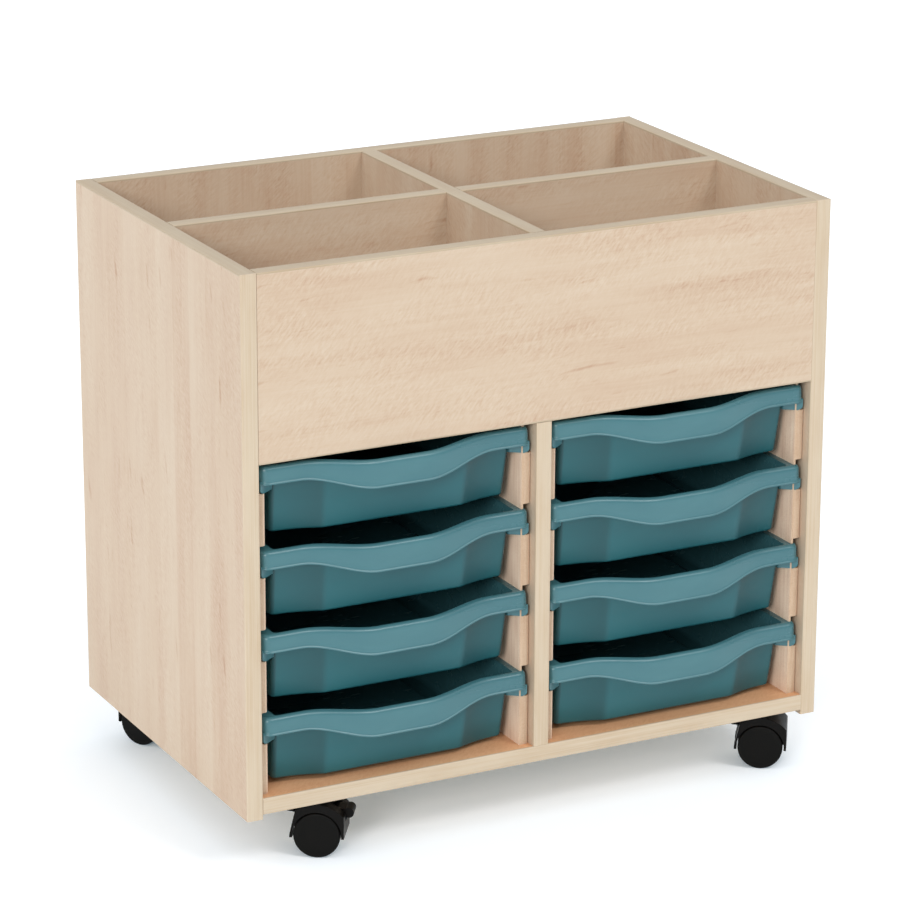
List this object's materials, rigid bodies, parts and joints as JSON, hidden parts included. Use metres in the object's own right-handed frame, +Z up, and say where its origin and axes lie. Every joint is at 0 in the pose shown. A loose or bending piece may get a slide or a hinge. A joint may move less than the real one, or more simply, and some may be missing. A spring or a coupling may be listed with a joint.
{
  "type": "mobile book cart",
  "caption": "Mobile school book cart: open-top book bins above two bays of sliding shallow trays, on swivelling twin-wheel casters.",
  "frame": {"origin": "on the floor, under the centre of the bounding box", "axes": "+X to the cart's right as seen from its front, +Y to its back, +Z up; the trays pull out towards -Y"},
  "size_m": [0.69, 0.447, 0.648],
  "materials": {
    "maple_board": "satin maple-effect melamine",
    "edging": "satin maple-effect edging",
    "runner_board": "matt routed wood fibre board",
    "dowel_wood": "raw beech",
    "tray_plastic": "satin moulded teal",
    "caster_nylon": "fine satin black",
    "wheel_nylon": "fine satin black",
    "caster_plate_steel": "zinc plated",
    "axle_steel": "bright drawn",
    "zinc_screw": "zinc plated"
  },
  "bodies": {
    "cabinet": {"side_panel_left": "maple_board", "side_panel_right": "maple_board", "back_panel": "maple_board", "front_panel": "maple_board", "base_panel": "maple_board", "bin_floor": "maple_board", "lower_divider": "maple_board", "bin_divider_long": "maple_board", "bin_divider_cross": "maple_board", "edging_side_left": "edging", "edging_side_right": "edging", "edging_front_panel": "edging", "edging_back_panel": "edging", "edging_base": "edging", "edging_lower_divider": "edging", "edging_bin_dividers": "edging", "runner_left_outer": "runner_board", "runner_left_inner": "runner_board", "runner_right_inner": "runner_board", "runner_right_outer": "runner_board", "dowels": "dowel_wood", "runner_screws": "zinc_screw", "caster_screws": "zinc_screw", "caster_plate_front_left": "caster_plate_steel", "caster_plate_front_right": "caster_plate_steel", "caster_plate_back_left": "caster_plate_steel", "caster_plate_back_right": "caster_plate_steel"},
    "tray_left_1": {"tray_left_1": "tray_plastic"},
    "tray_left_2": {"tray_left_2": "tray_plastic"},
    "tray_left_3": {"tray_left_3": "tray_plastic"},
    "tray_left_4": {"tray_left_4": "tray_plastic"},
    "tray_right_1": {"tray_right_1": "tray_plastic"},
    "tray_right_2": {"tray_right_2": "tray_plastic"},
    "tray_right_3": {"tray_right_3": "tray_plastic"},
    "tray_right_4": {"tray_right_4": "tray_plastic"},
    "caster_front_left": {"caster_hood_front_left": "caster_nylon", "axle_front_left": "axle_steel"},
    "wheel_front_left_1": {"wheel_front_left_1": "wheel_nylon"},
    "wheel_front_left_2": {"wheel_front_left_2": "wheel_nylon"},
    "brake_front_left": {"brake_lever_front_left": "caster_nylon"},
    "caster_front_right": {"caster_hood_front_right": "caster_nylon", "axle_front_right": "axle_steel"},
    "wheel_front_right_1": {"wheel_front_right_1": "wheel_nylon"},
    "wheel_front_right_2": {"wheel_front_right_2": "wheel_nylon"},
    "caster_back_left": {"caster_hood_back_left": "caster_nylon", "axle_back_left": "axle_steel"},
    "wheel_back_left_1": {"wheel_back_left_1": "wheel_nylon"},
    "wheel_back_left_2": {"wheel_back_left_2": "wheel_nylon"},
    "caster_back_right": {"caster_hood_back_right": "caster_nylon", "axle_back_right": "axle_steel"},
    "wheel_back_right_1": {"wheel_back_right_1": "wheel_nylon"},
    "wheel_back_right_2": {"wheel_back_right_2": "wheel_nylon"},
    "brake_back_right": {"brake_lever_back_right": "caster_nylon"}
  },
  "joints": [
    {"name": "tray_left_1_slide", "type": "slide", "parent": "cabinet", "child": "tray_left_1", "axis": [0, -1, 0], "range_m": [0, 0.38]},
    {"name": "tray_left_2_slide", "type": "slide", "parent": "cabinet", "child": "tray_left_2", "axis": [0, -1, 0], "range_m": [0, 0.38]},
    {"name": "tray_left_3_slide", "type": "slide", "parent": "cabinet", "child": "tray_left_3", "axis": [0, -1, 0], "range_m": [0, 0.38]},
    {"name": "tray_left_4_slide", "type": "slide", "parent": "cabinet", "child": "tray_left_4", "axis": [0, -1, 0], "range_m": [0, 0.38]},
    {"name": "tray_right_1_slide", "type": "slide", "parent": "cabinet", "child": "tray_right_1", "axis": [0, -1, 0], "range_m": [0, 0.38]},
    {"name": "tray_right_2_slide", "type": "slide", "parent": "cabinet", "child": "tray_right_2", "axis": [0, -1, 0], "range_m": [0, 0.38]},
    {"name": "tray_right_3_slide", "type": "slide", "parent": "cabinet", "child": "tray_right_3", "axis": [0, -1, 0], "range_m": [0, 0.38]},
    {"name": "tray_right_4_slide", "type": "slide", "parent": "cabinet", "child": "tray_right_4", "axis": [0, -1, 0], "range_m": [0, 0.38]},
    {"name": "swivel_front_left", "type": "hinge", "parent": "cabinet", "child": "caster_front_left", "pos_m": [-0.272, -0.1655, 0.0555], "axis": [0, 0, 1], "continuous": true},
    {"name": "spin_front_left_1", "type": "hinge", "parent": "caster_front_left", "child": "wheel_front_left_1", "pos_m": [-0.24865, -0.18095, 0.025], "axis": [0.5519, 0.8339, 0], "continuous": true},
    {"name": "spin_front_left_2", "type": "hinge", "parent": "caster_front_left", "child": "wheel_front_left_2", "pos_m": [-0.24865, -0.18095, 0.025], "axis": [0.5519, 0.8339, 0], "continuous": true},
    {"name": "brake_pedal_front_left", "type": "hinge", "parent": "caster_front_left", "child": "brake_front_left", "pos_m": [-0.23114, -0.19254, 0.048], "axis": [0.5519, 0.8339, 0], "range_deg": [0, 20]},
    {"name": "swivel_front_right", "type": "hinge", "parent": "cabinet", "child": "caster_front_right", "pos_m": [0.272, -0.1655, 0.0555], "axis": [0, 0, 1], "continuous": true},
    {"name": "spin_front_right_1", "type": "hinge", "parent": "caster_front_right", "child": "wheel_front_right_1", "pos_m": [0.29535, -0.18095, 0.025], "axis": [0.5519, 0.8339, 0], "continuous": true},
    {"name": "spin_front_right_2", "type": "hinge", "parent": "caster_front_right", "child": "wheel_front_right_2", "pos_m": [0.29535, -0.18095, 0.025], "axis": [0.5519, 0.8339, 0], "continuous": true},
    {"name": "swivel_back_left", "type": "hinge", "parent": "cabinet", "child": "caster_back_left", "pos_m": [-0.272, 0.1615, 0.0555], "axis": [0, 0, 1], "continuous": true},
    {"name": "spin_back_left_1", "type": "hinge", "parent": "caster_back_left", "child": "wheel_back_left_1", "pos_m": [-0.286, 0.18575, 0.025], "axis": [-0.866, -0.5, 0], "continuous": true},
    {"name": "spin_back_left_2", "type": "hinge", "parent": "caster_back_left", "child": "wheel_back_left_2", "pos_m": [-0.286, 0.18575, 0.025], "axis": [-0.866, -0.5, 0], "continuous": true},
    {"name": "swivel_back_right", "type": "hinge", "parent": "cabinet", "child": "caster_back_right", "pos_m": [0.272, 0.1615, 0.0555], "axis": [0, 0, 1], "continuous": true},
    {"name": "spin_back_right_1", "type": "hinge", "parent": "caster_back_right", "child": "wheel_back_right_1", "pos_m": [0.286, 0.18575, 0.025], "axis": [-0.866, 0.5, 0], "continuous": true},
    {"name": "spin_back_right_2", "type": "hinge", "parent": "caster_back_right", "child": "wheel_back_right_2", "pos_m": [0.286, 0.18575, 0.025], "axis": [-0.866, 0.5, 0], "continuous": true},
    {"name": "brake_pedal_back_right", "type": "hinge", "parent": "caster_back_right", "child": "brake_back_right", "pos_m": [0.2965, 0.20394, 0.048], "axis": [-0.866, 0.5, 0], "range_deg": [0, 20]}
  ]
}
